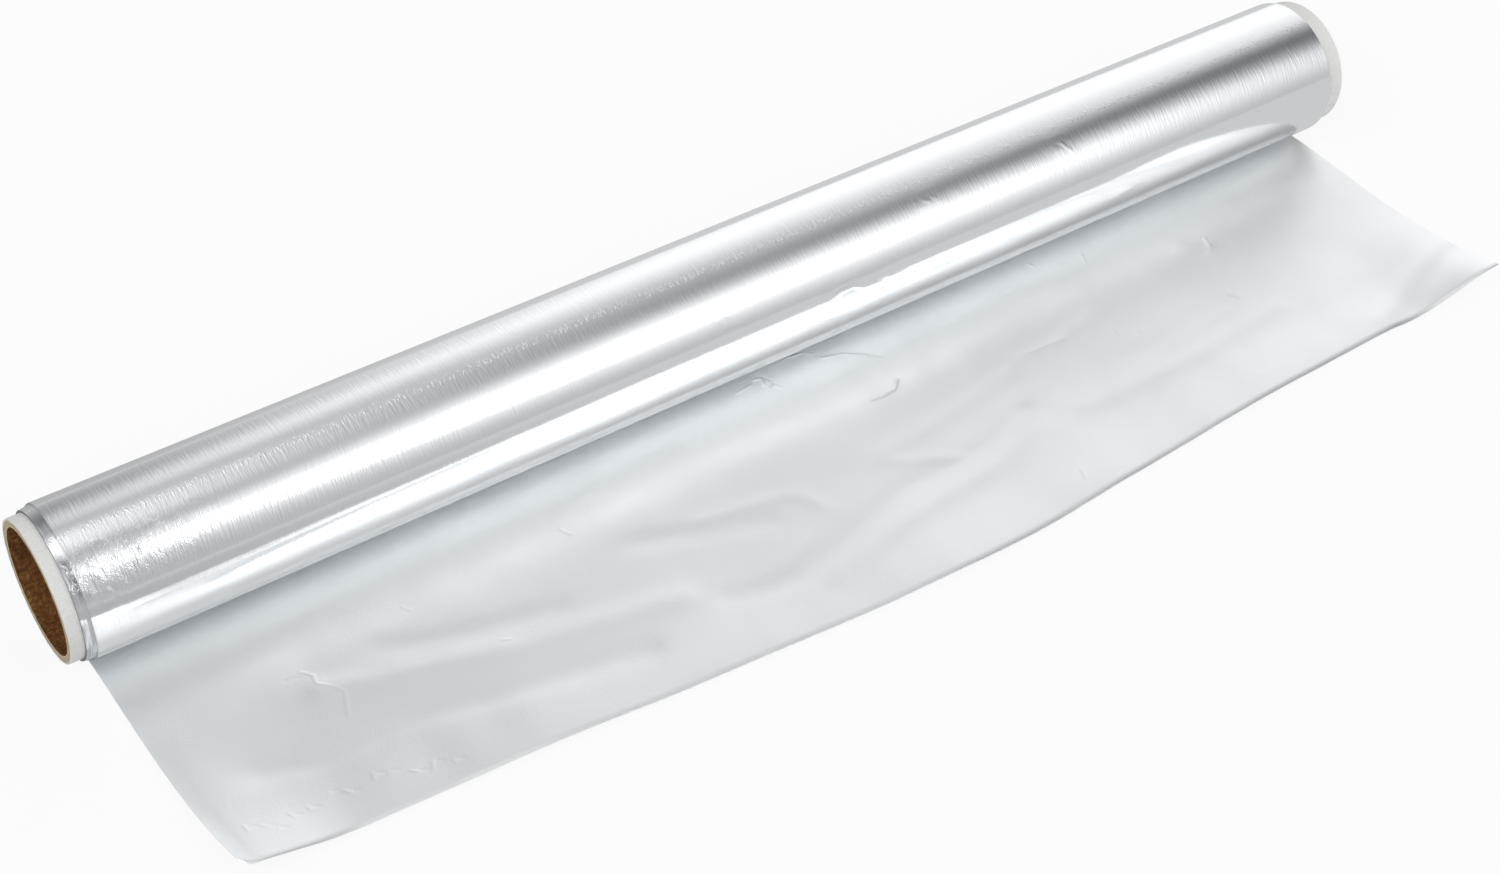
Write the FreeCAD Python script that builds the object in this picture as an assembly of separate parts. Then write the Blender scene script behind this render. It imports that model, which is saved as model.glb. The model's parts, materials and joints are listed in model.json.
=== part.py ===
import FreeCAD, Part
import math
import os

# A roll of household aluminium foil, lying on a table with its free end pulled out.
# The roll's axis runs along X through the origin, and Z points up.
# The web leaves the roll at its lowest line and runs out over the table towards -Y.
# All sizes are in millimetres.

# Driving dimensions of the core
BORE_DIAMETER = 25.0        # inside of the board tube
BOARD_WALL = 1.55           # kraft board, several plies glued together
PLY_THICKNESS = 0.2         # white paper ply round the board
CORE_STANDOUT = 4.75        # how far the core shows past the web at each end
CORE_EDGE_BREAK = 0.12      # worn edge of the cut board

# Driving dimensions of the wound web
WEB_WIDTH = 300.0           # width of the foil strip
WOUND_BUILD = 1.12          # radial depth of all the turns
OUTER_TURNS_BUILD = 0.28    # the last turns, which lie square on the core
LEDGE_BUILD = 0.36          # turns under them that step sideways
LEDGE_STEPS = 4             # how many groups of turns make those steps
TURNS_SHIFT = 2.0           # how far the innermost turns have slid to the left

# Driving dimensions of the loose end
SHEET_THICKNESS = 0.3       # stands in for one thickness of foil
SHEET_REACH = 75.8          # from the roll's axis to the foremost point of the cut edge
RESTING_STRIP = 12.0        # flat strip on which the sheet leaves the roll
LEFT_CORNER_LIFT = 3.6      # height of the left front corner over the table
RIGHT_CORNER_LIFT = 5.3     # height of the right front corner
CORNER_CURL_REACH = 24.0    # how far along the cut edge a lifted corner reaches
LEFT_CORNER_TAPER = 1.8     # how far the left edge has been torn in at its corner
WAVE_HEIGHT = 0.5           # height of the soft waves in the sheet
WAVE_LENGTH = 88.0          # from one wave to the next, along the roll
FLUTTER_HEIGHT = 0.35       # height of the smaller waves close to the cut edge
FLUTTER_LENGTH = 41.0

# The cut edge was torn off a little crooked: how far it falls short of SHEET_REACH, at places
# along the web that run from -1 at its left edge to 1 at its right edge
CUT_EDGE_SHORTFALLS = [
    (-1.0, 9.2),
    (-0.72, 7.3),
    (-0.35, 3.2),
    (0.04, 0.0),
    (0.4, 3.5),
    (0.78, 6.1),
    (1.0, 5.2),
]

# How finely the sheet's surface is laid out
STATIONS_ALONG = 31
STATIONS_OUT = 11

# Worked out from the sizes above
bore_radius = BORE_DIAMETER / 2
board_radius = bore_radius + BOARD_WALL
ply_radius = board_radius + PLY_THICKNESS
roll_radius = ply_radius + WOUND_BUILD
core_length = WEB_WIDTH + 2 * CORE_STANDOUT
table_height = -roll_radius
half_web = WEB_WIDTH / 2

ALONG_ROLL = FreeCAD.Vector(1, 0, 0)


def tube(inner_radius, outer_radius, start, length, edge_break=0.0, breaks_inside=True):
    """A tube along X, with the edges of its ends broken by a small chamfer."""
    end = start + length
    inside_break = edge_break if breaks_inside else 0.0
    profile = [
        (start, inner_radius + inside_break),
        (start + inside_break, inner_radius),
        (end - inside_break, inner_radius),
        (end, inner_radius + inside_break),
        (end, outer_radius - edge_break),
        (end - edge_break, outer_radius),
        (start + edge_break, outer_radius),
        (start, outer_radius - edge_break),
    ]
    return revolved(profile)


def revolved(profile):
    """Turn a closed outline of (along the roll, radius) points about the roll's axis."""
    corners = []
    for along, radius in profile:
        corner = FreeCAD.Vector(along, 0, radius)
        if not corners or (corner - corners[-1]).Length > 1e-6:
            corners.append(corner)
    face = Part.Face(Part.makePolygon(corners + corners[:1]))
    return face.revolve(FreeCAD.Vector(0, 0, 0), ALONG_ROLL, 360)


def core_tube():
    """The board tube, cut square, with its edges worn a little."""
    return tube(bore_radius, board_radius, -core_length / 2, core_length, CORE_EDGE_BREAK)


def core_outer_ply():
    """The white paper ply, glued round the board over its whole length."""
    ply_break = min(CORE_EDGE_BREAK, PLY_THICKNESS / 2)
    return tube(board_radius, ply_radius, -core_length / 2, core_length, ply_break, breaks_inside=False)


def inner_turns():
    """The turns under the last ones, slid to the left in steps, so each end is a small staircase."""
    inside_last_turns = roll_radius - OUTER_TURNS_BUILD
    ledge_bottom = inside_last_turns - LEDGE_BUILD
    outline = [(-half_web - TURNS_SHIFT, ply_radius), (-half_web - TURNS_SHIFT, ledge_bottom)]
    for step in range(1, LEDGE_STEPS + 1):
        shift = TURNS_SHIFT * (1 - step / (LEDGE_STEPS + 1))
        radius = ledge_bottom + LEDGE_BUILD * (step - 1) / LEDGE_STEPS
        outline += [(-half_web - shift, radius), (-half_web - shift, radius + LEDGE_BUILD / LEDGE_STEPS)]
    right_side = [(along + WEB_WIDTH, radius) for along, radius in reversed(outline)]
    return revolved(outline + right_side)


def last_turns_with_strip():
    """The outermost turns, and the flat strip of web that leaves them at the table."""
    inside = roll_radius - OUTER_TURNS_BUILD
    strip_top = table_height + SHEET_THICKNESS
    meets_strip = math.sqrt(roll_radius ** 2 - strip_top ** 2)

    def point(out, height):
        return FreeCAD.Vector(-half_web, -out, height)

    lowest = point(0, table_height)
    crevice = point(meets_strip, strip_top)
    strip_upper_end = point(RESTING_STRIP, strip_top)
    strip_lower_end = point(RESTING_STRIP, table_height)
    outline = Part.Wire([
        Part.Arc(lowest, point(0, roll_radius), crevice).toShape(),
        Part.makeLine(crevice, strip_upper_end),
        Part.makeLine(strip_upper_end, strip_lower_end),
        Part.makeLine(strip_lower_end, lowest),
    ])
    filled = Part.Face(outline).extrude(ALONG_ROLL * WEB_WIDTH)
    return filled.cut(Part.makeCylinder(inside, WEB_WIDTH, point(0, 0), ALONG_ROLL))


def smooth(share):
    """Rise from 0 to 1 with level ends."""
    share = min(max(share, 0.0), 1.0)
    return share * share * (3 - 2 * share)


def cut_edge_curve():
    """The cut edge as seen from above: X along the roll, Y as far out as the edge lies."""
    corners = [FreeCAD.Vector(place * half_web, SHEET_REACH - shortfall, 0)
               for place, shortfall in CUT_EDGE_SHORTFALLS]
    curve = Part.BSplineCurve()
    curve.interpolate(Points=corners, Parameters=[corner.x for corner in corners])
    return curve


def sheet_height(along, share_out):
    """Height of the sheet's underside over the table, level where it leaves the resting strip."""
    waves = 1 + math.sin(2 * math.pi * along / WAVE_LENGTH + 1.7 * share_out)
    flutter = 1 + math.cos(2 * math.pi * along / FLUTTER_LENGTH + 0.6)
    height = smooth(share_out * 1.6) * WAVE_HEIGHT * waves / 2
    height += smooth(share_out * 2 - 1) * FLUTTER_HEIGHT * flutter / 2
    lift = near_corner(along + half_web) * LEFT_CORNER_LIFT
    lift += near_corner(half_web - along) * RIGHT_CORNER_LIFT
    return height + lift * share_out ** 3


def near_corner(from_side_edge):
    """1 at a side edge of the web, and 0 from CORNER_CURL_REACH inward."""
    return smooth(1 - from_side_edge / CORNER_CURL_REACH)


def loose_sheet():
    """The free sheet beyond the resting strip, as one closed solid of even thickness."""
    cut_edge = cut_edge_curve()
    rows = []
    for i in range(STATIONS_ALONG):
        along = -half_web + WEB_WIDTH * i / (STATIONS_ALONG - 1)
        free_length = cut_edge.value(along).y - RESTING_STRIP
        row = []
        for j in range(STATIONS_OUT):
            share = j / (STATIONS_OUT - 1)
            taper = LEFT_CORNER_TAPER * near_corner(along + half_web) * share ** 4
            out = RESTING_STRIP + share * free_length
            height = table_height + sheet_height(along, share)
            row.append(FreeCAD.Vector(along + taper, -out, height))
        rows.append(row)
    surface = Part.BSplineSurface()
    surface.interpolate(rows)
    underside = surface.toShape()
    top = underside.translated(FreeCAD.Vector(0, 0, SHEET_THICKNESS))
    faces = [underside, top]
    for low_edge, high_edge in zip(underside.Edges, top.Edges):
        faces.append(Part.makeRuledSurface(low_edge, high_edge))
    shell = Part.makeShell(faces)
    shell.sewShape()
    solid = Part.makeSolid(shell)
    if solid.Volume < 0:
        solid.reverse()
    return solid


def foil_web():
    """All the turns and the loose end: one strip, so one solid."""
    web = last_turns_with_strip().fuse([inner_turns(), loose_sheet()])
    return web.removeSplitter()


pieces = {
    "core_tube": core_tube(),
    "core_outer_ply": core_outer_ply(),
    "foil_web": foil_web(),
}

os.makedirs("parts", exist_ok=True)
for name, shape in pieces.items():
    shape.exportStep(os.path.join("parts", name + ".step"))
    print(name, len(shape.Solids), "solid,", round(shape.Volume), "cubic mm, valid:", shape.isValid())
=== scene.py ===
import json
import math

import bpy
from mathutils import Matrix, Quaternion, Vector, noise


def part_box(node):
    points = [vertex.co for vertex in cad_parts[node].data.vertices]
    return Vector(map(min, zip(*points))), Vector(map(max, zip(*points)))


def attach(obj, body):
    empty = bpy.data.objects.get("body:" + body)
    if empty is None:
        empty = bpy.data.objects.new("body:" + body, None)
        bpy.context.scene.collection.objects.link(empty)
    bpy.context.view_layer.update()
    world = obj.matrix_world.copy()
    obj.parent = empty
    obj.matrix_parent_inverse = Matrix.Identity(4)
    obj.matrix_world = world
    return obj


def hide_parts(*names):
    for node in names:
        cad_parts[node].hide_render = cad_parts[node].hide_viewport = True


# A roll of household aluminium foil, lying on a table with its free end pulled out.
# It is put together as the real one is: a board core, its white paper ply, the turns of foil wound
# on that, and the last turn, which leaves the roll at the table and runs out as the loose sheet.

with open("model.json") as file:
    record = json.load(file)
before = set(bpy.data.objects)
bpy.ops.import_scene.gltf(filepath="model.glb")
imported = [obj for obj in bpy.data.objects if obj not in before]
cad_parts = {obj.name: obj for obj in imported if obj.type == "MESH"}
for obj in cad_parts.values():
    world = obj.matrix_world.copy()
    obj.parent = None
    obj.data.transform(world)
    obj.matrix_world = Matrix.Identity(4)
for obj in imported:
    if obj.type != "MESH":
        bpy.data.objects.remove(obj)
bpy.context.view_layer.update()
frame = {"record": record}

# Board tube of the core
# Strips of brown kraft board, wound in a helix, glued into one stiff wall and cut square.
# The innermost strip shows its butt joint in the bore, and the cut ends show the paler board.
MM = 0.001
core_low, core_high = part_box("core_tube")
board_radius = core_high.z
bore_radius = frame["record"]["mounts"][0]["dims"]["r_mm"] * MM
core_end_break = 0.16 * MM
board_corners = 160
bore_rings = 64
columns_per_ring = 8
joint_depth = 0.13 * MM
joint_start = math.radians(200)
cut_roughness = 0.05 * MM
cut_grain_size = 0.9 * MM
cut_face_rings = [0.3, 0.55, 0.8, 1.0]


def ring_round_axis(name, corners, along, radius):
    """Add an open ring of corners round the roll's axis, and start to edit it."""
    bpy.ops.object.select_all(action="DESELECT")
    bpy.ops.mesh.primitive_circle_add(
        vertices=corners, radius=radius, location=(along, 0, 0), rotation=(0, math.pi / 2, 0)
    )
    piece = bpy.context.object
    piece.name = name
    bpy.ops.object.transform_apply(location=True, rotation=True, scale=True)
    bpy.ops.object.mode_set(mode="EDIT")
    bpy.ops.mesh.select_all(action="SELECT")
    return piece


def draw_ring_along(profile):
    """Draw the selected ring out through a list of (along the roll, radius) points."""
    for (along, radius), (next_along, next_radius) in zip(profile, profile[1:]):
        bpy.ops.mesh.extrude_region_move(TRANSFORM_OT_translate={"value": (next_along - along, 0, 0)})
        widen = next_radius / radius
        bpy.ops.transform.resize(value=(1, widen, widen), center_override=(0, 0, 0))


def close_shell():
    """Weld the last ring to the first, turn the faces outward and leave edit mode."""
    bpy.ops.mesh.select_all(action="SELECT")
    bpy.ops.mesh.remove_doubles(threshold=0.002 * MM)
    bpy.ops.mesh.normals_make_consistent(inside=False)
    bpy.ops.object.mode_set(mode="OBJECT")


bore_mouth = bore_radius + core_end_break
bore_profile = [(core_low.x, bore_mouth)]
for ring in range(bore_rings + 1):
    share = ring / bore_rings
    along = core_low.x + core_end_break + share * (core_high.x - core_low.x - 2 * core_end_break)
    bore_profile.append((along, bore_radius))
bore_profile.append((core_high.x, bore_mouth))
right_face = [(core_high.x, bore_mouth + share * (board_radius - bore_mouth)) for share in cut_face_rings]
left_face = [(core_low.x, radius) for along, radius in reversed(right_face)]
board_profile = bore_profile + right_face + left_face + bore_profile[:1]

board_tube = ring_round_axis("core_board_tube", board_corners, *board_profile[0])
draw_ring_along(board_profile)
close_shell()

column_angle = 2 * math.pi / board_corners
for vertex in board_tube.data.vertices:
    along, depth, height = vertex.co
    radius = math.hypot(depth, height)
    at_an_end = min(along - core_low.x, core_high.x - along) < core_end_break / 2
    if at_an_end:
        grain = noise.noise(Vector((depth, height, along)) / cut_grain_size)
        vertex.co.x -= math.copysign(cut_roughness, along) * (0.5 + grain)
    elif radius < bore_radius + core_end_break / 2:
        ring = round((along - core_low.x - core_end_break) / (core_high.x - core_low.x) * bore_rings)
        turned = math.atan2(height, depth) - joint_start - ring * columns_per_ring * column_angle
        off_joint = abs((turned + math.pi) % (2 * math.pi) - math.pi)
        if off_joint < column_angle / 2:
            vertex.co.yz = vertex.co.yz * (1 + joint_depth / radius)


def linear_colour(hex_colour):
    """An sRGB hex colour as the linear colour that a shader takes."""
    channels = [int(hex_colour[i:i + 2], 16) / 255 for i in (1, 3, 5)]
    return [c / 12.92 if c <= 0.04045 else ((c + 0.055) / 1.055) ** 2.4 for c in channels] + [1.0]


def new_material(name):
    """An empty material and its node tree."""
    material = bpy.data.materials.new(name)
    material.use_nodes = True
    material.node_tree.nodes.clear()
    return material, material.node_tree


def add_node(tree, kind, settings=None, **inputs):
    """Add a node. settings are its own options, and inputs are values or other nodes' sockets by name."""
    node = tree.nodes.new(kind)
    for option, value in (settings or {}).items():
        setattr(node, option, value)
    for name, value in inputs.items():
        number = name[1:] if name[0] == "_" else None
        socket = node.inputs[int(number)] if number else node.inputs[name.replace("_", " ")]
        if isinstance(value, bpy.types.NodeSocket):
            tree.links.new(value, socket)
        else:
            socket.default_value = value
    return node


def maths(tree, operation, *values, clamp=False):
    """The result of one sum, such as MULTIPLY, on values or other nodes' sockets."""
    numbered = {"_" + str(i): value for i, value in enumerate(values)}
    node = add_node(tree, "ShaderNodeMath", {"operation": operation, "use_clamp": clamp}, **numbered)
    return node.outputs["Value"]


def mapped(tree, value, start, end, low=0.0, high=1.0, soft=False):
    """Low where value is start, high where it is end, and with level ends if soft."""
    settings = {"interpolation_type": "SMOOTHSTEP" if soft else "LINEAR"}
    return add_node(tree, "ShaderNodeMapRange", settings, Value=value,
                    _1=start, _2=end, _3=low, _4=high).outputs["Result"]


def colour_steps(tree, value, steps):
    """A ramp from value to colour, with (place, hex colour) steps."""
    ramp = add_node(tree, "ShaderNodeValToRGB", Fac=value)
    while len(ramp.color_ramp.elements) < len(steps):
        ramp.color_ramp.elements.new(1.0)
    for element, (place, hex_colour) in zip(ramp.color_ramp.elements, steps):
        element.position = place
        element.color = linear_colour(hex_colour)
    return ramp.outputs["Color"]


def distance_from_axis(tree):
    """How far a point of the piece is from the roll's axis."""
    place = add_node(tree, "ShaderNodeTexCoord").outputs["Object"]
    flat = add_node(tree, "ShaderNodeVectorMath", {"operation": "MULTIPLY"}, _0=place, _1=(0, 1, 1))
    length = add_node(tree, "ShaderNodeVectorMath", {"operation": "LENGTH"}, _0=flat.outputs["Vector"])
    return length.outputs["Value"]


# Kraft board, calendered: brown and matte in the bore, with short darker and paler fibres.
# Where it is cut it is paler and greyer, and its plies show as faint rings.
kraft_board, tree = new_material("kraft board, cut square")
place = add_node(tree, "ShaderNodeTexCoord").outputs["Object"]
fibres = add_node(tree, "ShaderNodeTexNoise", {"noise_dimensions": "3D"}, Vector=place,
                  Scale=1 / (0.7 * MM), Detail=4.0, Roughness=0.7, Distortion=0.3)
clouds = add_node(tree, "ShaderNodeTexNoise", {"noise_dimensions": "3D"}, Vector=place,
                  Scale=1 / (9 * MM), Detail=2.0)
fibre_mix = maths(tree, "MULTIPLY_ADD", clouds.outputs["Fac"], 0.35, fibres.outputs["Fac"])
bore_brown = colour_steps(tree, fibre_mix,
                          [(0.45, "#452a14"), (0.62, "#6b4522"), (0.72, "#80562c"), (0.86, "#a07747")])
plies = mapped(tree, distance_from_axis(tree), bore_radius, board_radius)
cut_colour = colour_steps(tree, plies,
                          [(0.0, "#c3ab85"), (0.12, "#e0d3ba"), (0.24, "#b5a68c"), (0.45, "#c2b59d"),
                           (0.62, "#a99c84"), (0.8, "#c4b9a4"), (0.93, "#d8d0c0")])
cut_grain = add_node(tree, "ShaderNodeTexNoise", {"noise_dimensions": "3D"}, Vector=place,
                     Scale=1 / (0.5 * MM), Detail=3.0)
cut_shade = mapped(tree, cut_grain.outputs["Fac"], 0.3, 0.75, 0.72, 1.12)
cut_face = add_node(tree, "ShaderNodeVectorMath", {"operation": "SCALE"}, _0=cut_colour, Scale=cut_shade)
is_cut = mapped(tree, distance_from_axis(tree), bore_radius + 0.02 * MM, bore_radius + 0.12 * MM)
board_colour = add_node(tree, "ShaderNodeMix", {"data_type": "RGBA"}, _0=is_cut,
                        _6=bore_brown, _7=cut_face.outputs["Vector"])
fibre_bump = add_node(tree, "ShaderNodeBump", Strength=0.55, Distance=0.08 * MM, Height=fibre_mix)
surface = add_node(tree, "ShaderNodeBsdfPrincipled", Base_Color=board_colour.outputs[2], Roughness=0.9,
                   Normal=fibre_bump.outputs["Normal"])
surface.inputs["Specular IOR Level"].default_value = 0.25
add_node(tree, "ShaderNodeOutputMaterial", Surface=surface.outputs["BSDF"])

board_tube.data.materials.append(kraft_board)
bpy.ops.object.shade_smooth_by_angle(angle=math.radians(35))
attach(board_tube, "root")
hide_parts("core_tube")

# White outer ply of the core
# A strip of bleached paper, glued round the board in the same helix, and cut with it.
# Its butt joint shows as a fine line that runs round the collar.
ply_low, ply_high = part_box("core_outer_ply")
ply_radius = ply_high.z
ply_rings = 64
ply_corners = 160
ply_edge_break = 0.08 * MM
ply_joint_depth = 0.06 * MM
ply_joint_start = math.radians(75)
ply_grain_size = 1.4 * MM

ply_profile = [(ply_low.x, ply_radius - ply_edge_break)]
for ring in range(ply_rings + 1):
    share = ring / ply_rings
    along = ply_low.x + ply_edge_break + share * (ply_high.x - ply_low.x - 2 * ply_edge_break)
    ply_profile.append((along, ply_radius))
ply_profile += [(ply_high.x, ply_radius - ply_edge_break), (ply_high.x, board_radius),
                (ply_low.x, board_radius), ply_profile[0]]

white_ply = ring_round_axis("core_white_ply", ply_corners, *ply_profile[0])
draw_ring_along(ply_profile)
close_shell()

column_angle = 2 * math.pi / ply_corners
for vertex in white_ply.data.vertices:
    along, depth, height = vertex.co
    radius = math.hypot(depth, height)
    at_an_end = min(along - ply_low.x, ply_high.x - along) < ply_edge_break / 2
    if at_an_end:
        grain = noise.noise(Vector((depth, height, along)) / ply_grain_size)
        vertex.co.x -= math.copysign(cut_roughness, along) * (0.5 + grain)
    elif radius > ply_radius - ply_edge_break / 2:
        ring = round((along - ply_low.x - ply_edge_break) / (ply_high.x - ply_low.x) * ply_rings)
        turned = math.atan2(height, depth) - ply_joint_start - ring * columns_per_ring * column_angle
        off_joint = abs((turned + math.pi) % (2 * math.pi) - math.pi)
        if off_joint < column_angle / 2:
            vertex.co.yz = vertex.co.yz * (1 - ply_joint_depth / radius)

# Bleached paper, uncoated: flat white, a little grey, with a fine tooth that only shows close up.
white_paper, tree = new_material("bleached paper, uncoated")
place = add_node(tree, "ShaderNodeTexCoord").outputs["Object"]
tooth = add_node(tree, "ShaderNodeTexNoise", {"noise_dimensions": "3D"}, Vector=place,
                 Scale=1 / (0.45 * MM), Detail=3.0)
paper_colour = colour_steps(tree, tooth.outputs["Fac"], [(0.3, "#dfdfdd"), (0.7, "#eaeae8")])
tooth_bump = add_node(tree, "ShaderNodeBump", Strength=0.25, Distance=0.03 * MM,
                      Height=tooth.outputs["Fac"])
surface = add_node(tree, "ShaderNodeBsdfPrincipled", Base_Color=paper_colour, Roughness=0.75,
                   Normal=tooth_bump.outputs["Normal"])
surface.inputs["Specular IOR Level"].default_value = 0.3
add_node(tree, "ShaderNodeOutputMaterial", Surface=surface.outputs["BSDF"])

white_ply.data.materials.append(white_paper)
bpy.ops.object.shade_smooth_by_angle(angle=math.radians(35))
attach(white_ply, "root")
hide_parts("core_outer_ply")

# Turns of foil wound on the core
# One long web of foil. Its inner turns have slid a little to the left on the core, so the left end
# shows them as a narrow band below the last turns, and the right end is a shallow recess.
web_low, web_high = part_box("foil_web")
roll_radius = web_high.z
web_right = web_high.x
web_left = -web_right
slide = web_left - web_low.x
web_gauge = 0.05 * MM
turn_gap = 0.02 * MM
under_last_turn = roll_radius - 2 * web_gauge - 2 * turn_gap
square_turns_build = 0.28 * MM
band_build = 0.36 * MM
band_outer = roll_radius - square_turns_build
band_inner = band_outer - band_build
turn_groups = 7
group_jitter = 0.07 * MM
turn_corners = 192
second_edge = 0.15 * MM
right_edge_set_back = 0.25 * MM
band_step_places = [0.0, 0.3, 0.56, 0.74, 0.88]
band_edge_share = 0.45
band_unevenness = 0.05 * MM
band_unevenness_size = (1.2 * MM, 4 * MM)

left_end = [(web_left - slide, ply_radius)]
for group in range(1, turn_groups + 1):
    radius = ply_radius + (band_inner - ply_radius) * group / turn_groups
    jitter = group_jitter * noise.noise(Vector((group * 1.7, 0.3, 0.0)))
    left_end.append((left_end[-1][0], radius))
    left_end.append((web_left - slide + abs(jitter), radius))
step_rise = (band_outer - band_inner) / len(band_step_places)
for place, next_place in zip(band_step_places, band_step_places[1:] + [1.0]):
    radius = left_end[-1][1]
    left_end.append((web_left - slide * (1 - place), radius + band_edge_share * step_rise))
    left_end.append((web_left - slide * (1 - next_place), radius + step_rise))
left_end += [(web_left - second_edge, band_outer + web_gauge), (web_left - second_edge, under_last_turn)]
web_width = web_right - web_left
right_end = [(along + web_width - (right_edge_set_back if radius > band_outer else 0.0), radius)
             for along, radius in reversed(left_end)]
turns_profile = left_end + right_end + left_end[:1]

wound_turns = ring_round_axis("foil_wound_turns", turn_corners, *turns_profile[0])
draw_ring_along(turns_profile)
close_shell()
for vertex in wound_turns.data.vertices:
    along, depth, height = vertex.co
    if along < web_left and math.hypot(depth, height) > band_inner:
        size_along, size_round = band_unevenness_size
        spot = Vector((along / size_along, depth / size_round, height / size_round))
        vertex.co.yz = vertex.co.yz * (1 + band_unevenness * noise.noise(spot) / roll_radius)

# Rolled aluminium foil, bright side: nearly a mirror, with fine lines along the web from the mill's
# polished rolls. They lie round the roll, and break up the edges of what it reflects. A belt of short
# nips runs along the top front of the roll, and the left end is crinkled from handling.
bright_foil, tree = new_material("aluminium foil, bright rolled side")
place = add_node(tree, "ShaderNodeTexCoord").outputs["Object"]
parts = add_node(tree, "ShaderNodeSeparateXYZ", Vector=place)
angle = maths(tree, "ARCTAN2", parts.outputs["Z"], maths(tree, "MULTIPLY", parts.outputs["Y"], -1.0))
round_roll = maths(tree, "MULTIPLY", angle, roll_radius)
unrolled = add_node(tree, "ShaderNodeCombineXYZ", X=parts.outputs["X"], Y=round_roll).outputs["Vector"]


def streaks(vector, across, along_streak, detail, distortion=0.0):
    """Noise that is drawn out into streaks: their width across, and their length."""
    stretched = add_node(tree, "ShaderNodeVectorMath", {"operation": "MULTIPLY"}, _0=vector,
                         _1=(1 / across, 1 / along_streak, 1 / along_streak))
    streaked = add_node(tree, "ShaderNodeTexNoise", {"noise_dimensions": "3D"},
                        Vector=stretched.outputs["Vector"], Scale=1.0, Detail=detail, Roughness=0.55,
                        Distortion=distortion)
    return streaked.outputs["Fac"]


def between(value, start, full, full_end, end):
    """1 where value is between full and full_end, and falling to 0 at start and end."""
    rise = mapped(tree, value, start, full, soft=True)
    fall = mapped(tree, value, full_end, end, 1.0, 0.0, soft=True)
    return maths(tree, "MULTIPLY", rise, fall)


def raised(height, amount, mask=None):
    """A height from 0 to 1 as a real height in metres, where the mask lets it show."""
    if mask is not None:
        height = maths(tree, "MULTIPLY", height, mask)
    return maths(tree, "MULTIPLY", height, amount)


def together(*heights):
    """The sum of several heights."""
    total = heights[0]
    for height in heights[1:]:
        total = maths(tree, "ADD", total, height)
    return total


mill_lines = streaks(place, 0.3 * MM, 3.2 * MM, 2.0)
broad_lines = streaks(place, 0.5 * MM, 4 * MM, 1.0)
soft_dents = streaks(place, 9 * MM, 6 * MM, 2.0)
nip = mapped(tree, streaks(unrolled, 0.5 * MM, 1.3 * MM, 1.0), 0.5, 0.7, soft=True)
nip_belt = between(angle, math.radians(70), math.radians(74), math.radians(77), math.radians(80))
crinkle = maths(tree, "PINGPONG", streaks(unrolled, 1.6 * MM, 2.2 * MM, 2.0, 1.2), 0.06)
crinkle = mapped(tree, crinkle, 0.012, 0.04, 1.0, 0.0, soft=True)
handled_end = between(parts.outputs["X"], web_left - 4 * MM, web_left - 3 * MM,
                      web_left + 8 * MM, web_left + 34 * MM)
handled_front = between(angle, math.radians(22), math.radians(30), math.radians(52), math.radians(84))
handled = maths(tree, "MULTIPLY", handled_end, handled_front)
bright_relief = together(raised(mill_lines, 0.008 * MM), raised(broad_lines, 0.018 * MM),
                         raised(soft_dents, 0.025 * MM), raised(nip, 0.02 * MM, nip_belt),
                         raised(crinkle, 0.006 * MM, handled))
mill_bump = add_node(tree, "ShaderNodeBump", Strength=1.0, Distance=1.0, Height=bright_relief)
bright_roughness = mapped(tree, mill_lines, 0.3, 0.7, 0.09, 0.13)
surface = add_node(tree, "ShaderNodeBsdfPrincipled", Base_Color=linear_colour("#f3f5f7"), Metallic=1.0,
                   Roughness=bright_roughness, Normal=mill_bump.outputs["Normal"])
add_node(tree, "ShaderNodeOutputMaterial", Surface=surface.outputs["BSDF"])

# Cut edges of the turns, seen end on: hundreds of thin layers, which scatter the light and look grey. Their
# darker greys are partly painted shade, for the thin shadow where the turns meet the white ply.
foil_edges, tree = new_material("cut edges of wound foil")
from_axis = distance_from_axis(tree)
layer = add_node(tree, "ShaderNodeTexNoise", {"noise_dimensions": "1D"}, W=from_axis,
                 Scale=1 / (0.06 * MM), Detail=1.0)
# Grey of the layers, and painted shade: the darker greys stand in for the shadow in the gap between the
# turns and the white ply.
layer_grey_and_gap_shade = colour_steps(tree, layer.outputs["Fac"], [(0.35, "#6f7173"), (0.65, "#b4b7ba")])
layer_bump = add_node(tree, "ShaderNodeBump", Strength=0.6, Distance=0.02 * MM, Height=layer.outputs["Fac"])
surface = add_node(tree, "ShaderNodeBsdfPrincipled", Base_Color=layer_grey_and_gap_shade, Metallic=1.0, Roughness=0.5,
                   Normal=layer_bump.outputs["Normal"])
add_node(tree, "ShaderNodeOutputMaterial", Surface=surface.outputs["BSDF"])

wound_turns.data.materials.append(bright_foil)
wound_turns.data.materials.append(foil_edges)
for face in wound_turns.data.polygons:
    if abs(face.normal.x) > 0.9:
        face.material_index = 1
bpy.ops.object.shade_smooth_by_angle(angle=math.radians(25))
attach(wound_turns, "root")
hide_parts("foil_web")

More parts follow.
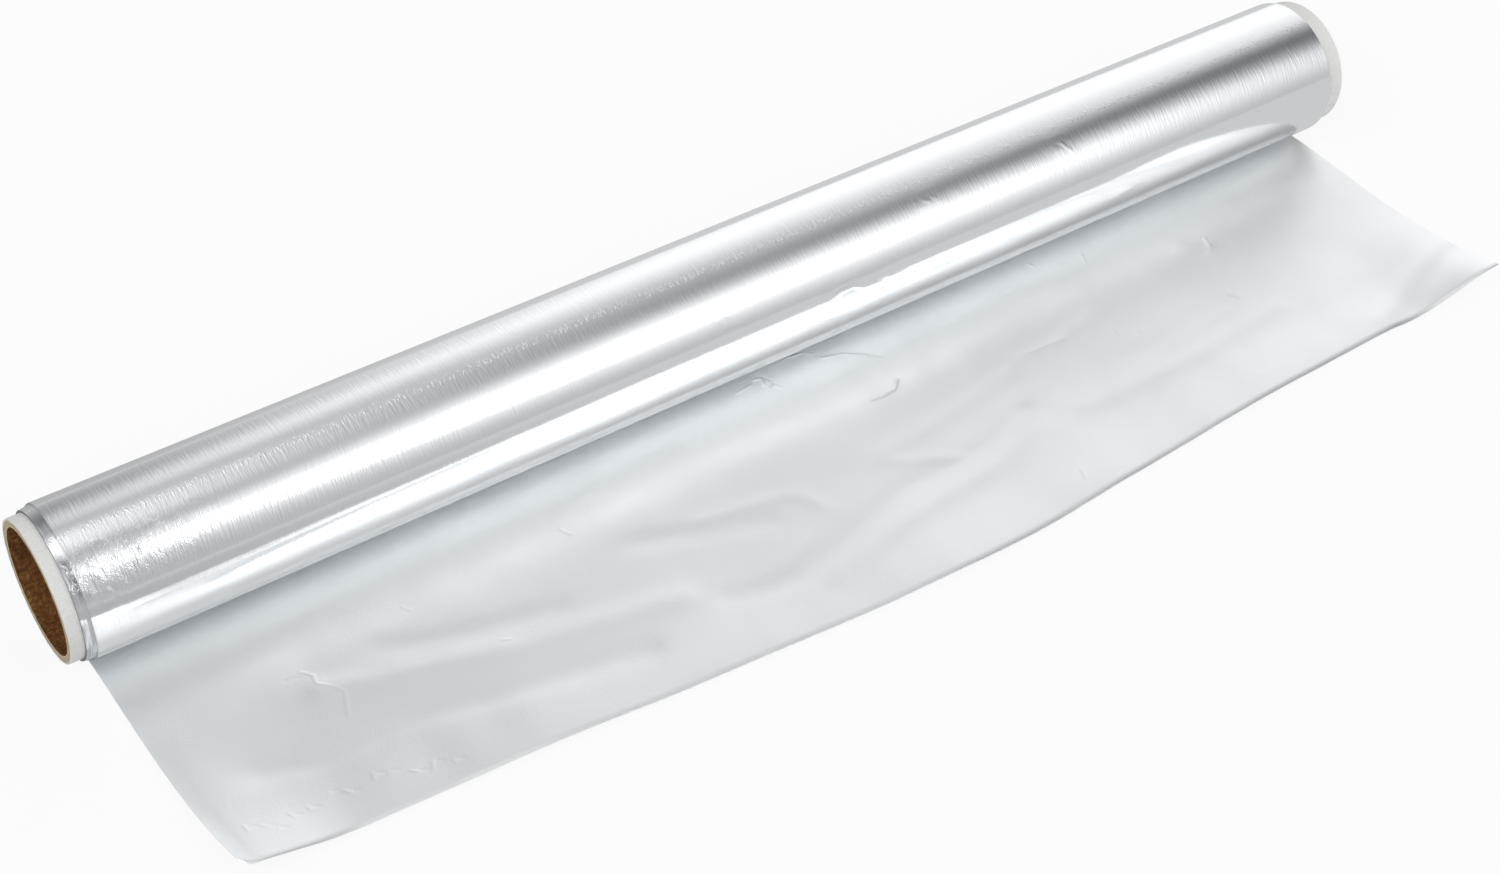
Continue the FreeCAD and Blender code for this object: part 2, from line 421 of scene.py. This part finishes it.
# Last turn and loose sheet
# The last turn goes once round the roll, bright side out, and leaves it along the lowest line.
# From there it lies on the table with its matte side up: softly waved, creased, cut off a little crooked.
cells_across = 200
cells_round = 56
cells_out = 60
overlap = math.radians(18)
resting_strip = 12.0 * MM
left_corner_lift = 3.6 * MM
right_corner_lift = 5.3 * MM
corner_curl_reach = 24.0 * MM
left_corner_taper = 1.8 * MM
wave_height = 0.5 * MM
wave_length = 88.0 * MM
flutter_height = 0.35 * MM
flutter_length = 41.0 * MM
crumple_height = 0.15 * MM
crumple_size = (19 * MM, 26 * MM)
fine_crumple_size = (7.5 * MM, 15 * MM)
spring_height = 0.5 * MM
spring_top = 13.0 * MM
spring_end = 44.0 * MM
corner_rounding = 1.6 * MM
cut_edge_rise = 0.45 * MM
cut_edge_rise_reach = 15.0 * MM
cut_burr = 0.3 * MM
cut_burr_drop = 0.21 * MM
sheet_reach = -web_low.y
cut_edge_shortfalls = [(-1.0, 9.2), (-0.72, 7.3), (-0.35, 3.2), (0.04, 0.0),
                       (0.4, 3.5), (0.78, 6.1), (1.0, 5.2)]
table_height = -roll_radius
wound_length = (2 * math.pi + overlap) * roll_radius

# How many millimetres off a fold or a crease can still be felt, and how far round a crease the mesh
# is divided more finely, into how many cuts a cell.
soft_fold_reach = 9.0
sharp_crease_reach = 1.5
fine_mesh_reach = 1.6
fine_mesh_cuts = 4

# Soft folds in the sheet: height, half width, and the places that each runs through, in millimetres.
# A place is how far it is along the roll from its middle, and how far the sheet has left the roll.
soft_folds = [
    (0.26, 1.8, [(6, 41.5), (25, 39.5), (43, 36)]),
    (0.20, 1.4, [(44, 36.5), (45.5, 39), (43, 42), (39.5, 44.5)]),
    (-0.30, 2.6, [(38, 47), (24, 51.5), (2, 52), (-15, 57), (-28, 60), (-42, 57.5)]),
    (0.24, 2.6, [(36, 51.5), (20, 56), (-4, 59), (-22, 64)]),
    (0.18, 1.6, [(-37, 37.5), (-26, 39), (-16, 41), (-13, 48), (-22, 53), (-35, 57)]),
    (-0.22, 2.4, [(-50, 35.5), (-35, 40.5), (-25, 44.5)]),
    (0.18, 1.3, [(4, 43.5), (12.5, 48), (17.5, 50.5)]),
    (-0.36, 3.0, [(-136, 47.5), (-122, 49), (-110, 49.5), (-93, 54), (-81, 56.5), (-63, 60)]),
    (0.32, 2.8, [(-118, 35.5), (-108, 39.5), (-96, 42.5), (-82, 47), (-66, 49.5), (-50, 52)]),
    (-0.22, 2.4, [(-104, 33), (-90, 38), (-72, 42)]),
    (0.18, 1.6, [(48, 33.5), (58, 34), (70, 31.5)]),
    (-0.28, 3.0, [(52, 45), (72, 46.5), (95, 44)]),
    (0.26, 3.0, [(50, 52), (78, 52.5), (104, 50)]),
    (0.16, 1.6, [(100, 25), (105, 28), (104, 31)]),
    (-0.22, 2.6, [(149, 60), (138, 63.5), (125, 69.5)]),
    (0.18, 2.2, [(149, 56), (136, 59.5), (120, 66)]),
]

# Sharp creases and nicks in the same terms.
sharp_creases = [
    (0.10, 0.26, [(11, 11.5), (16, 13), (20, 16), (22, 18.5)]),
    (0.13, 0.30, [(12.5, 27.5), (15, 28), (18.5, 27.5), (20.5, 25.5)]),
    (0.13, 0.28, [(-4.5, 9.5), (-3, 10), (-3.5, 12)]),
    (-0.12, 0.28, [(-2, 10), (-1.5, 11.5), (-2.5, 13)]),
    (0.08, 0.28, [(-2, 13), (-1, 14.5)]),
    (0.08, 0.26, [(-9.5, 11), (-6, 10.5)]),
    (0.10, 0.26, [(5, 7.5), (9, 8), (10.5, 9.5)]),
    (0.055, 0.28, [(-119, 30), (-117.5, 32), (-118, 34), (-116, 36)]),
    (0.05, 0.30, [(-115.5, 36.5), (-114.5, 38.5), (-116.5, 43.5)]),
    (-0.04, 0.28, [(-122.5, 30.5), (-120, 31)]),
    (0.10, 0.26, [(79.5, 14.5), (78.5, 17.5)]),
    (0.10, 0.26, [(67.5, 10.5), (68, 12)]),
    (0.10, 0.26, [(77, 36), (74, 41)]),
    (0.08, 0.26, [(70, 37.5), (69.5, 39.5)]),
    (0.12, 0.26, [(98, 42), (99.5, 44)]),
    (-0.08, 0.26, [(99.5, 42), (98, 44)]),
    (0.07, 0.28, [(-60.5, 25), (-59.5, 27)]),
    (0.07, 0.28, [(106.5, 25), (105.5, 28)]),
    (0.08, 0.28, [(49.5, 33.5), (58.5, 34)]),
    (0.07, 0.28, [(36, 66.5), (35, 69)]),
    (0.06, 0.28, [(-96, 26), (-95, 27.5)]),
    (0.06, 0.28, [(-84.5, 43.5), (-83, 44)]),
]

# A broken line of small bumps, pressed in when the sheet was pulled over the blade of its box.
blade_line = [(-144.5, 58), (-141.5, 59), (-140, 61.5), (-136, 59), (-132.5, 59), (-128, 58),
              (-125, 59), (-119.5, 58.5), (-117, 59.5), (-113, 61.5), (-109.5, 62), (-106, 63.5)]
for i, (along, out) in enumerate(blade_line):
    lean = 0.5 * math.sin(2.3 * i)
    length = 0.5 + 0.3 * math.cos(1.9 * i)
    bump = [(along - lean, out - length), (along + lean, out + length)]
    dent = [(along + 1.1, out + lean), (along + 1.9, out + 0.4 + lean)]
    sharp_creases += [(0.05 - 0.012 * (i % 3), 0.28, bump), (-0.03, 0.28, dent)]

# Creases on the roll: along it, and how many degrees up from its frontmost line.
roll_creases = [
    (0.07, 0.30, [(9.5, 15), (12.5, 18.5), (16, 19), (18.5, 14), (21.5, 13.5)]),
    (0.04, 0.26, [(12, 11), (17, 11.5), (22.5, 12), (27.5, 6)]),
    (0.035, 0.26, [(75, 60), (76.5, 51)]),
    (-0.02, 0.26, [(73.5, 60.5), (75, 57)]),
    (0.035, 0.25, [(38, 60), (39.5, 57)]),
    (0.03, 0.25, [(40.5, 59.5), (41, 57.5)]),
    (0.03, 0.25, [(-14.5, 37.5), (-13.5, 35)]),
    (0.045, 0.28, [(-149.5, 46), (-147, 43.5), (-146, 38.5)]),
    (0.045, 0.28, [(-149, 31), (-146, 28.5), (-144.5, 24.5)]),
    (-0.04, 0.28, [(-145, 50.5), (-142.5, 47)]),
    (0.045, 0.28, [(-139.5, 51.5), (-137.5, 48.5), (-138, 45.5)]),
    (0.04, 0.28, [(-145, 63.5), (-142.5, 60.5)]),
    (0.04, 0.28, [(-134, 60.5), (-132.5, 57.5)]),
    (-0.03, 0.28, [(-126, 62.5), (-124, 59.5)]),
]
for height, half_width, run in roll_creases:
    travelled = [(along, -roll_radius / MM * math.radians(270 - degrees)) for along, degrees in run]
    sharp_creases.append((height, half_width, travelled))


def smooth(share):
    """Rise from 0 to 1 with level ends."""
    share = min(max(share, 0.0), 1.0)
    return share * share * (3 - 2 * share)


def cut_edge_at(place):
    """How far out the cut edge lies at a place from -1 to 1 along the web, on a smooth curve."""
    points = cut_edge_shortfalls
    i = max(k for k in range(len(points) - 1) if points[k][0] <= place or k == 0)
    slopes = []
    for k in (i, i + 1):
        before, after = points[max(k - 1, 0)], points[min(k + 1, len(points) - 1)]
        slopes.append((after[1] - before[1]) / (after[0] - before[0]))
    span = points[i + 1][0] - points[i][0]
    t = (place - points[i][0]) / span
    shortfall = (points[i][1] * (1 + 2 * t) * (1 - t) ** 2 + span * slopes[0] * t * (1 - t) ** 2
                 + points[i + 1][1] * t * t * (3 - 2 * t) - span * slopes[1] * t * t * (1 - t))
    return sheet_reach - shortfall * MM


def reach_at(along):
    """How far out the sheet goes: to the cut edge, and a little less where its left corner is rounded."""
    off_corner = 1 - min((along - web_left) / corner_rounding, 1.0)
    return cut_edge_at(2 * along / web_width) - corner_rounding * (1 - math.sqrt(1 - off_corner ** 2))


def web_place(spot):
    """Where a point of the flat blank lies: along the roll, and how far the web has left the roll."""
    across = spot.x + 0.5
    row = (spot.y + 0.5) * (cells_round + cells_out)
    along = web_left + across * web_width
    if row <= cells_round:
        return along, -wound_length * (1 - row / cells_round)
    reach = reach_at(along)
    before_burr = (row - cells_round) / (cells_out - 1)
    return along, min(before_burr * (reach - cut_burr), reach)


def distance_to_run(spot, run):
    """How far a spot is from a line through several places, in millimetres."""
    nearest = math.inf
    for (from_x, from_y), (to_x, to_y) in zip(run, run[1:]):
        run_x, run_y = to_x - from_x, to_y - from_y
        share = ((spot[0] - from_x) * run_x + (spot[1] - from_y) * run_y) / (run_x ** 2 + run_y ** 2)
        share = min(max(share, 0.0), 1.0)
        off_x, off_y = spot[0] - from_x - share * run_x, spot[1] - from_y - share * run_y
        nearest = min(nearest, math.hypot(off_x, off_y))
    return nearest


def creases_near(spot, creases, margin):
    """The creases whose box, made wider by a margin, holds the spot."""
    near = []
    for height, half_width, run in creases:
        xs, ys = [x for x, y in run], [y for x, y in run]
        if min(xs) - margin < spot[0] < max(xs) + margin and min(ys) - margin < spot[1] < max(ys) + margin:
            near.append((height, half_width, run))
    return near


def relief(along, travelled):
    """How far the folds and creases lift the web at a place."""
    spot = (along / MM, travelled / MM)
    lift = 0.0
    for creases, margin in ((soft_folds, soft_fold_reach), (sharp_creases, sharp_crease_reach)):
        for height, half_width, run in creases_near(spot, creases, margin):
            lift += height * math.exp(-(distance_to_run(spot, run) / half_width) ** 2)
    return lift * MM


def near_corner(from_side_edge):
    """1 at a side edge of the web, and 0 from the curl's reach inward."""
    return smooth(1 - from_side_edge / corner_curl_reach)


def sheet_height(along, out, reach):
    """Height of the sheet over the table: waves, flutter, lifted corners, crumples, spring and creases."""
    share_out = max(0.0, (out - resting_strip) / (reach - resting_strip))
    waves = 1 + math.sin(2 * math.pi * along / wave_length + 1.7 * share_out)
    flutter = 1 + math.cos(2 * math.pi * along / flutter_length + 0.6)
    height = smooth(share_out * 1.6) * wave_height * waves / 2
    height += smooth(share_out * 2 - 1) * flutter_height * flutter / 2
    height += smooth((out - reach) / cut_edge_rise_reach + 1) * cut_edge_rise
    lift = near_corner(along - web_left) * left_corner_lift
    lift += near_corner(web_right - along) * right_corner_lift
    height += lift * share_out ** 3
    crumple = 1 + noise.noise(Vector((along / crumple_size[0], out / crumple_size[1], 0.4)))
    fine_spot = Vector((along / fine_crumple_size[0] + 3.1, out / fine_crumple_size[1], 2.2))
    crumple += 0.5 * noise.noise(fine_spot)
    height += smooth(share_out * 4) * crumple_height * crumple
    springs_back = smooth(out / spring_top) * smooth((spring_end - out) / (spring_end - spring_top))
    height += springs_back * spring_height
    if out == reach:
        height -= cut_burr_drop
    return max(height + relief(along, out), 0.0)


bpy.ops.object.select_all(action="DESELECT")
bpy.ops.mesh.primitive_grid_add(x_subdivisions=cells_across, y_subdivisions=cells_round + cells_out, size=1)
last_turn = bpy.context.object
last_turn.name = "foil_last_turn_and_sheet"
bpy.ops.object.mode_set(mode="EDIT")
bpy.ops.mesh.select_mode(type="FACE")
bpy.ops.mesh.select_all(action="DESELECT")
bpy.ops.object.mode_set(mode="OBJECT")
for face in last_turn.data.polygons:
    along, travelled = web_place(face.center)
    spot = (along / MM, travelled / MM)
    face.select = any(distance_to_run(spot, run) < fine_mesh_reach
                      for height, half_width, run in creases_near(spot, sharp_creases, fine_mesh_reach))
bpy.ops.object.mode_set(mode="EDIT")
bpy.ops.mesh.subdivide(number_cuts=fine_mesh_cuts)
bpy.ops.mesh.select_mode(type="VERT")
bpy.ops.object.mode_set(mode="OBJECT")
for vertex in last_turn.data.vertices:
    along, travelled = web_place(vertex.co)
    if travelled <= 0:
        angle = -travelled / roll_radius
        radius = roll_radius - (web_gauge + turn_gap) * angle / (2 * math.pi) + relief(along, travelled)
        vertex.co = (along, radius * math.sin(angle), -radius * math.cos(angle))
    else:
        reach = reach_at(along)
        free = max(0.0, (travelled - resting_strip) / (reach - resting_strip))
        taper = left_corner_taper * near_corner(along - web_left) * free ** 4
        vertex.co = (along + taper, -travelled, table_height + sheet_height(along, travelled, reach))

# Rolled aluminium foil, matte side: satin, because two webs pass the mill's last rolls together and
# their inner faces aren't pressed by polished steel. It blurs what it reflects, more along than across.
matte_foil, tree = new_material("aluminium foil, matte side")
place = add_node(tree, "ShaderNodeTexCoord").outputs["Object"]
grain = streaks(place, 0.4 * MM, 0.9 * MM, 2.0)
clouds = streaks(place, 26 * MM, 26 * MM, 3.0)
wrinkle = maths(tree, "PINGPONG", streaks(place, 9 * MM, 5 * MM, 3.0, 0.8), 0.06)
wrinkle = mapped(tree, wrinkle, 0.0, 0.02, 1.0, 0.0, soft=True)
matte_relief = together(raised(grain, 0.006 * MM), raised(wrinkle, 0.012 * MM, clouds))
grain_bump = add_node(tree, "ShaderNodeBump", Strength=1.0, Distance=1.0, Height=matte_relief)
satin_roughness = mapped(tree, clouds, 0.3, 0.7, 0.35, 0.4)
surface = add_node(tree, "ShaderNodeBsdfPrincipled", Base_Color=linear_colour("#f6f8f9"), Metallic=1.0,
                   Roughness=satin_roughness, Normal=grain_bump.outputs["Normal"])
add_node(tree, "ShaderNodeOutputMaterial", Surface=surface.outputs["BSDF"])

last_turn.data.materials.append(bright_foil)
last_turn.data.materials.append(matte_foil)
thickness = last_turn.modifiers.new("gauge", "SOLIDIFY")
thickness.thickness = web_gauge
thickness.offset = -1
thickness.material_offset = 1
bpy.ops.object.modifier_apply(modifier="gauge")
bpy.ops.object.shade_smooth_by_angle(angle=math.radians(40))
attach(last_turn, "root")
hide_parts("foil_web")

# Table under the roll
# A plain white table top. It shows white to the camera and keeps the roll's soft shadow. What the foil
# mirrors of it is a pale grey, darker to the left, as if the studio's light fell off that way.
table_gap = 0.01 * MM
table_glow_share = 0.88
bpy.ops.object.select_all(action="DESELECT")
bpy.ops.mesh.primitive_plane_add(size=6, location=(0, 0, table_height - table_gap))
table = bpy.context.object
table.name = "table"
table_top, tree = new_material("table top, matte white")
ray = add_node(tree, "ShaderNodeLightPath")
place = add_node(tree, "ShaderNodeTexCoord").outputs["Object"]
across_table = add_node(tree, "ShaderNodeSeparateXYZ", Vector=place)
grey_in_foil = mapped(tree, across_table.outputs["X"], -0.2, 0.06, 0.4, 0.62, soft=True)
shown = maths(tree, "MAXIMUM", ray.outputs["Is Camera Ray"], grey_in_foil)
lit = add_node(tree, "ShaderNodeBsdfDiffuse", Color=linear_colour("#f4f4f4"))
glow = add_node(tree, "ShaderNodeEmission", Color=(1, 1, 1, 1), Strength=shown)
glows = maths(tree, "ADD", ray.outputs["Is Camera Ray"], ray.outputs["Is Glossy Ray"], clamp=True)
glows = maths(tree, "ADD", glows, ray.outputs["Is Transmission Ray"], clamp=True)
glow_share = maths(tree, "MULTIPLY", glows, table_glow_share)
table_mix = add_node(tree, "ShaderNodeMixShader", _0=glow_share, _1=lit.outputs["BSDF"],
                     _2=glow.outputs["Emission"])
add_node(tree, "ShaderNodeOutputMaterial", Surface=table_mix.outputs["Shader"])
table.data.materials.append(table_top)

# Studio round the roll
# A pale grey room with soft boxes: a key with a brighter middle in front to the right, a fill behind
# to the right, a strip overhead and a high one to the left. The camera sees only white past the roll.
room_low = 0.74
room_high = 0.22
# Each soft box: strength, azimuth and elevation of its middle in degrees, half width and half height,
# and how softly its sides and its top and bottom end. The last four are shares of its distance.
soft_boxes = [
    (1.6, 32, 39, 0.27, 0.32, 0.23, 0.4),
    (1.1, 136, 27, 0.4, 0.5, 0.17, 0.46),
    (1.5, 181, 87, 0.21, 0.25, 0.23, 0.19),
    (5.2, 28.5, 38, 0.08, 0.13, 0.07, 0.12),
    (4.6, 298, 46, 0.45, 0.22, 0.18, 0.12),
]
world = bpy.data.worlds.new("studio")
bpy.context.scene.world = world
world.use_nodes = True
tree = world.node_tree
tree.nodes.clear()
direction = add_node(tree, "ShaderNodeTexCoord").outputs["Generated"]
upward = add_node(tree, "ShaderNodeSeparateXYZ", Vector=direction).outputs["Z"]
light = mapped(tree, upward, -0.3, 0.7, room_low, room_high, soft=True)


def along_axis(axis, half, softness):
    """1 within half of a soft box's middle along one of its axes, and 0 past its soft end."""
    off = add_node(tree, "ShaderNodeVectorMath", {"operation": "DOT_PRODUCT"}, _0=direction, _1=axis)
    off = maths(tree, "ABSOLUTE", off.outputs["Value"])
    return mapped(tree, off, half - softness, half + softness, 1.0, 0.0, soft=True)


for strength, azimuth, elevation, half_width, half_height, side_softness, end_softness in soft_boxes:
    turn, rise = math.radians(azimuth), math.radians(elevation)
    middle = Vector((math.sin(turn) * math.cos(rise), -math.cos(turn) * math.cos(rise), math.sin(rise)))
    sideways = Vector((math.cos(turn), math.sin(turn), 0))
    upright = sideways.cross(-middle)
    facing = add_node(tree, "ShaderNodeVectorMath", {"operation": "DOT_PRODUCT"}, _0=direction, _1=middle)
    box = mapped(tree, facing.outputs["Value"], -0.05, 0.05)
    box = maths(tree, "MULTIPLY", box, along_axis(sideways, half_width, side_softness))
    box = maths(tree, "MULTIPLY", box, along_axis(upright, half_height, end_softness))
    light = maths(tree, "MULTIPLY_ADD", box, strength, light)
ray = add_node(tree, "ShaderNodeLightPath")
white_past_roll = add_node(tree, "ShaderNodeMix", {"data_type": "FLOAT"}, _0=ray.outputs["Is Camera Ray"],
                           _2=light, _3=1.0)
sky = add_node(tree, "ShaderNodeBackground", Strength=white_past_roll.outputs[0])
add_node(tree, "ShaderNodeOutputWorld", Surface=sky.outputs["Background"])

# Camera
# In front and to the left of the roll, looking down over it along its length.
bpy.ops.object.camera_add(location=(-0.23306, -0.31792, 0.33623))
camera = bpy.context.object
camera.data.lens = 60.42
camera.data.sensor_width = 36
camera.data.clip_start = 0.01
turn, dip, tilt = math.radians(53.477), math.radians(43.743), math.radians(2.822)
looking = Vector((math.cos(turn) * math.cos(dip), math.sin(turn) * math.cos(dip), -math.sin(dip)))
camera.rotation_mode = "QUATERNION"
camera.rotation_quaternion = looking.to_track_quat("-Z", "Y") @ Quaternion((0, 0, 1), tilt)
bpy.context.scene.camera = camera
bpy.context.scene.view_settings.view_transform = "Standard"
# Light goes to and fro many times between the roll and the sheet beside it, so it is followed that far.
bpy.context.scene.cycles.glossy_bounces = 12
